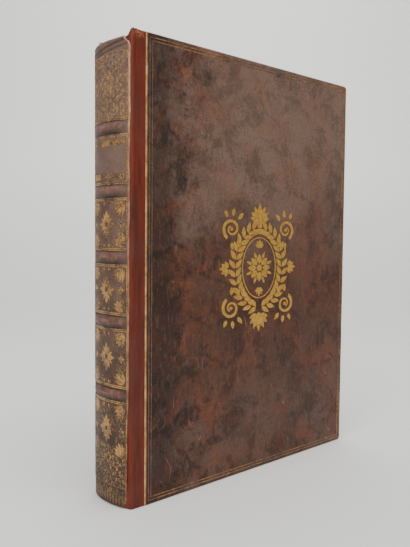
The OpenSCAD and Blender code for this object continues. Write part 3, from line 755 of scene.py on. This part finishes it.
# Near the folded ends: painted shade, and cracked grain.
edge_fold = twice(fade(from_end, 2.0))
new_spine = make_piece("new_leather_of_spine", points, faces, new_calf, "new_leather",
                       fold=edge_fold * 0.5, crack=edge_fold * 0.3)
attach(new_spine, "book_block")
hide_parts("new_spine_leather")

# %% [markdown]
# A joint strip is the same skin, with many columns where it bends. Its top edge climbs from the sunken
# spine to the higher board, steeply at the front and gently at the rear. Two thin plates on the inside of
# the board are its turn-ins.

# %% Shape: leather at the joints
HEAD_RUNS = [18.5, 20.5, 22.0, 23.4, 25.5, 28.0, 31.0]
HEAD_LINES = {1: [345.0, 346.0, 349.0, 350.4, 350.4, 350.3, 350.0],
              -1: [344.4, 344.4, 344.5, 345.0, 346.6, 349.0, 350.0]}


def turn_in_plate(x0, x1, z0, z1):
    """Thin leather on the inside of a front board: a grid of nearly the turn-in's thickness, with a point at
    each millimetre, which thins out within a millimetre of its rim."""
    gx, gz = np.meshgrid(np.arange(x0, x1 + 0.01), np.arange(z0, z1 + 0.01), indexing="ij")
    rim = np.minimum.reduce([gx - x0, x1 - gx, gz - z0, z1 - gz])
    depth = BOARD_IN - np.clip(rim, 0, 1) * TURN_IN_T * 0.9
    outer = np.stack([gx + JOINT_X, -depth, gz], axis=-1)
    inner = np.stack([gx + JOINT_X, np.full(gx.shape, -BOARD_IN - 0.1), gz], axis=-1)
    return layered_shell(outer[:, ::-1], inner[:, ::-1])


joint_runs = np.concatenate([np.linspace(17.6, CROWN_RUN, 10), np.linspace(CROWN_RUN + 0.4, SHOULDER_RUN, 9),
                             np.linspace(JOINT_RUN - 0.8, JOINT_RUN + 1.6, 9),
                             np.linspace(JOINT_RUN + 2.2, JOINT_RUN + STRIP_W + STRIP_LAP, 14)])
swell = 0.04 * ripple(joint_runs, 0 * joint_runs, 5, 6.0)
depth = np.interp(joint_runs, [18.0, 22.0, JOINT_RUN + 0.4, JOINT_RUN + 1.4], [4.0, 1.9, 1.9, 3.9])
plates = [turn_in_plate(1.6, STRIP_W + 1, z0, z1)
          for z0, z1 in ((0.8, TURN_IN), (BOARD_H - TURN_IN, BOARD_H - 0.8))]
print("columns across a joint:", len(joint_runs))

# %% [markdown]
# Each strip reaches from the pages on one side of the joint to the cover on the other, and it stays where it
# is made, joined to no body. Painted shade darkens it in the joint's groove, along a line on the board and at
# its folded ends, and it is cracked near the head.

# %% Pieces: new leather at the joints
for side, body, name, node in ((1, "front_cover", "front_joint_leather", "front_joint_strip"),
                               (-1, "rear_cover", "rear_joint_leather", "rear_joint_strip")):
    top = np.interp(joint_runs, HEAD_RUNS, HEAD_LINES[side])
    top = top + 0.3 * np.sin(joint_runs * 2.3) * bell(joint_runs, 27.0, 5.0)
    skin, skin_faces, height, from_end = folded_skin(joint_runs, swell, depth, top, JOINT_SKIN_T)
    runs = np.broadcast_to(joint_runs[:, None], height.shape)
    lowness = np.interp(height, [0, 60, 200, 330], [0.4, 1.0, 0.9, 0.0])
    # Painted shade in the joint's groove, at the folded ends, and along a line on the board that is darker
    # low down.
    fold = (0.35 * bell(runs, JOINT_RUN - 0.2, 0.9) + 0.4 * fade(from_end, 1.5)
            + 0.45 * bell(runs, 31.0, 2.6) * lowness)
    crack = 1.2 * bell(height, BOARD_H - 3.0, 1.8) * bell(runs, 30.0, 5.0)
    points, faces = join([(skin, skin_faces), *plates])
    none = np.zeros(len(points) - len(skin))
    if side < 0:
        points, faces = mirrored(points, faces)
    piece = make_piece(name, points, faces, new_calf, "new_leather",
                       fold=np.concatenate([twice(fold), none]), crack=np.concatenate([twice(crack), none]))
    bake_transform(piece)
    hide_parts(node)

# %% [markdown]
# Calf on a board is wrapped round three edges and turned in. Each ring of this surface is the outline of
# the board drawn in by some distance, with the same three runs and two round corners. Carrying the rings
# along a section, from inside the board round its edge and over its face, gives the whole wrap.

# %% Shape: calf wrapped round a board
TAIL_N, CORNER_N, FORE_N = 56, 7, 84
EDGE_R, COVER_SKIN_T = 1.5, 0.32
BY_CUT = [0.0, 0.45, 0.9, 1.4, 2.0, 3.0]
OVER_FACE = [2.0, 2.6, 3.4, 4.4, 5.6, 7.2, 9.5, 12.5, 16.0, 20.0, 25.0, 31.0, 38.0, 46.0, 55.0, 65.0, 76.0,
             88.0, 101.0, 115.0, 130.0, 146.0, 160.0, 174.0]


def ring(inset):
    """Outline of a board, drawn in: from the strip along the tail, up the fore-edge, back along the head."""
    r = max(CORNER_R - inset, 0.3)
    x1 = BOARD_W - inset
    rest_of_tail = np.linspace(STRIP_W + 5, x1 - r, TAIL_N - len(BY_CUT))
    tail_x = np.concatenate([STRIP_W + np.array(BY_CUT), rest_of_tail])
    turn = np.linspace(-np.pi / 2, 0, CORNER_N + 2)[1:-1]
    low = np.stack([x1 - r + r * np.cos(turn), inset + r + r * np.sin(turn)], axis=-1)
    fore_z = np.linspace(inset + r, BOARD_H - inset - r, FORE_N)
    half = np.concatenate([np.stack([tail_x, np.full(TAIL_N, inset)], axis=-1), low])
    upper = half[::-1] * np.array([1.0, -1.0]) + np.array([0.0, BOARD_H])
    return np.concatenate([half, np.stack([np.full(FORE_N, x1), fore_z], axis=-1), upper])


def cover_out(x, z):
    """Outer face of a cover, as distance from the middle of the book: flat, with slow unevenness inside its
    edges, and pared down to the new leather along its cut edge."""
    rim = np.minimum.reduce([BOARD_W - x, z, BOARD_H - z])
    flat = HALF_T + 0.07 * ripple(x, z, 21, 55.0, 120.0) * np.clip((rim - 4) / 12, 0, 1)
    ragged = STRIP_W + 0.35 * ripple(z, z * 0, 8, 14.0, 37.0)
    return flat - (CALF_T - 0.06) * np.clip(1 - (x - ragged) / 1.9, 0, 1) ** 1.3


arc = np.linspace(0, np.pi / 2, 6)
section = [(TURN_IN, BOARD_IN), (TURN_IN - 0.3, INSIDE_Y + 0.1)]
section += [(inset, INSIDE_Y) for inset in (TURN_IN - 1, 9.0, 4.5, 2.4)]
section += [(EDGE_R * (1 - math.sin(a)), INSIDE_Y + EDGE_R * (1 - math.cos(a))) for a in arc]
section += [(EDGE_R * (1 - math.cos(a)), HALF_T - EDGE_R * (1 - math.sin(a))) for a in arc[1:]]
section += [(inset, math.inf) for inset in OVER_FACE]
rings = np.array([ring(inset) for inset, depth in section])
depths = np.array([np.minimum(depth, cover_out(*flat.T)) for (inset, depth), flat in zip(section, rings)])
insets = np.repeat([inset for inset, depth in section], rings.shape[1]).reshape(depths.shape)
print("rings:", rings.shape[0], "of", rings.shape[1], "points")

# %% [markdown]
# No old board has straight edges. The outline gives way a little, most at the corners and at one knock on
# the fore-edge. What stands out is also what gets rubbed, so the field for the rubbing follows from the
# same distances. The last ring is a narrow slot, and a few faces close it across, from its tail side to its
# head side.

# %% Shape: dents and rubbed places of a cover
flat_x, z = rings[..., 0], rings[..., 1]
knock = 0.45 * bell(z, 115.5, 3.0) * (flat_x > BOARD_W - 20)
corner = fade(np.hypot(BOARD_W - flat_x, np.minimum(z, BOARD_H - z)), 5.0)
give = fade(insets, 1.6) * (0.22 * (1 + ripple(flat_x, z, 31, 7.0, 19.0)) + knock + 0.5 * corner)
x = np.where(flat_x > BOARD_W - 25, flat_x - give, flat_x)
cover_points = np.stack([x + JOINT_X, -depths, z], axis=-1)

count, wide = depths.shape
last = (count - 1) * wide + np.arange(wide)
slot_faces = np.stack([last[:-1], last[1:], last[::-1][1:], last[::-1][:-1]], axis=-1)[: wide // 2]
cover_faces = np.concatenate([grid_faces(count, wide), slot_faces])

head_corner = fade(np.hypot((BOARD_W - x) / 5.0, (BOARD_H - z) / 9.0), 1.0)
rub = 0.62 * fade(insets, 1.3) + 0.95 * corner + 1.1 * head_corner + 1.4 * knock * fade(insets, 3.5)
rub = np.where(depths < INSIDE_Y + 0.6, 0.2 * rub, rub)
from_cut = flat_x - STRIP_W - 0.3 * ripple(z, 0 * x, 8, 14.0, 37.0)
cut_edge = np.clip(2.2 - from_cut / 0.7, 0, 1) * (depths > INSIDE_Y + 1)
print("the outline gives way by up to", round(float(give.max()), 2), "mm")

# %% [markdown]
# A modifier gives the surface its thickness, inwards. The rear cover is the front one in a mirror.

# %% Pieces: calf of the covers
for side, body, name, node in ((1, "front_cover", "front_cover_calf", "front_calf"),
                               (-1, "rear_cover", "rear_cover_calf", "rear_calf")):
    points, faces = cover_points.reshape(-1, 3), cover_faces
    if side < 0:
        points, faces = mirrored(points, faces)
    piece = make_piece(name, points, faces, calf, "first_calf", rub=rub.ravel(), cut_edge=cut_edge.ravel())
    solid = piece.modifiers.new("thickness", "SOLIDIFY")
    solid.thickness = COVER_SKIN_T * MM
    solid.offset = -1.0
    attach(piece, body)
    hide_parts(node)

# %% [markdown]
# The other solids are right as they are. Each of them only gets a finish in place of its plain colour.

# %% Finishes for the solids that stay as they are
plain = {"text_block": pages, "spine_linings": paper, "front_board": pasteboard, "rear_board": pasteboard,
         "front_pastedown": paper, "rear_pastedown": paper, "front_cord_slips": hemp, "rear_cord_slips": hemp,
         "head_band": silk, "tail_band": silk, "spine_gilt_lines": spine_gold, "spine_gilt_tools": spine_gold,
         "front_gilt_border": faint_gold, "rear_gilt_border": faint_gold, "front_gilt_ornament": cover_gold}
plain.update({f"sewing_cord_{i}": hemp for i in range(1, 6)})
for name, finish in plain.items():
    node = nodes[name]
    if not node.material_slots:
        node.data.materials.append(finish.material)
    for material_slot in node.material_slots:
        material_slot.material = finish.material
print("solids with a finish:", len(plain))

# %% [markdown]
# The floor and the wall behind are one pale sheet that bends up out of sight of the book, square to the
# view. Its colour is painted lighter up the wall than on the floor, a painted light.

# %% Floor and wall
BEND_R = 1.0
turn = np.linspace(0, np.pi / 2, 13)
path_y = np.concatenate([[-2.5, 0.0, 0.9], 0.9 + BEND_R * np.sin(turn[1:]), [0.9 + BEND_R]])
path_z = np.concatenate([[0, 0, 0], BEND_R - BEND_R * np.cos(turn[1:]), [4.0]])
across = np.linspace(-4, 4, 9)
gy, gx = np.meshgrid(path_y, across, indexing="ij")
gz = np.repeat(path_z, len(across)).reshape(gx.shape)
cos_yaw, sin_yaw = math.cos(YAW), math.sin(YAW)
ground = np.stack([gx * cos_yaw + gy * sin_yaw, gy * cos_yaw - gx * sin_yaw, gz], axis=-1)
studio = Finish("studio_sheet", roughness=0.9)
z = studio.axes()[2]
# Painted light: the sheet is lighter up the wall than on the floor.
studio.tone = studio.blend(studio.span(z, 0.0, 0.5), seen(219, 219, 214), seen(244, 244, 240))
studio.paint()
sheet_mesh = bpy.data.meshes.new("studio_sheet")
sheet_mesh.from_pydata(ground.reshape(-1, 3).tolist(), [], grid_faces(*gx.shape).tolist())
sheet_mesh.polygons.foreach_set("use_smooth", np.ones(len(sheet_mesh.polygons), dtype=bool))
sheet_mesh.materials.append(studio.material)
studio_sheet = bpy.data.objects.new("studio_sheet", sheet_mesh)
bpy.context.scene.collection.objects.link(studio_sheet)

# %% [markdown]
# Two broad soft lights, one high on the left and one overhead, give the even light of the photograph. A
# third one brightens the wall, and a dim white world fills the shadows.

# %% Lights
def soft_light(name, where, aim, size, power):
    """A square area light that faces the point aim."""
    data = bpy.data.lights.new(name, "AREA")
    data.size, data.energy = size, power
    light = bpy.data.objects.new(name, data)
    away = np.array(where) - np.array(aim)
    light.location = where
    light.rotation_euler = (math.atan2(math.hypot(away[0], away[1]), away[2]), 0.0,
                            math.atan2(away[1], away[0]) + math.pi / 2)
    bpy.context.scene.collection.objects.link(light)


BOOK_MIDDLE = (0, 0, 0.17)
soft_light("left_light", (-1.5, -0.5, 1.3), BOOK_MIDDLE, 1.2, 22)
soft_light("top_light", (-0.1, -0.6, 1.9), BOOK_MIDDLE, 1.5, 34)
soft_light("wall_light", (0.5, 0.55, 1.7), (1.1, 1.2, 0.5), 1.2, 16)
world = bpy.data.worlds.new("room")
bpy.context.scene.world = world
world.use_nodes = True
world.node_tree.nodes["Background"].inputs["Color"].default_value = (1.0, 1.0, 1.0, 1.0)
world.node_tree.nodes["Background"].inputs["Strength"].default_value = 0.42
print("lights:", len(bpy.data.lights))
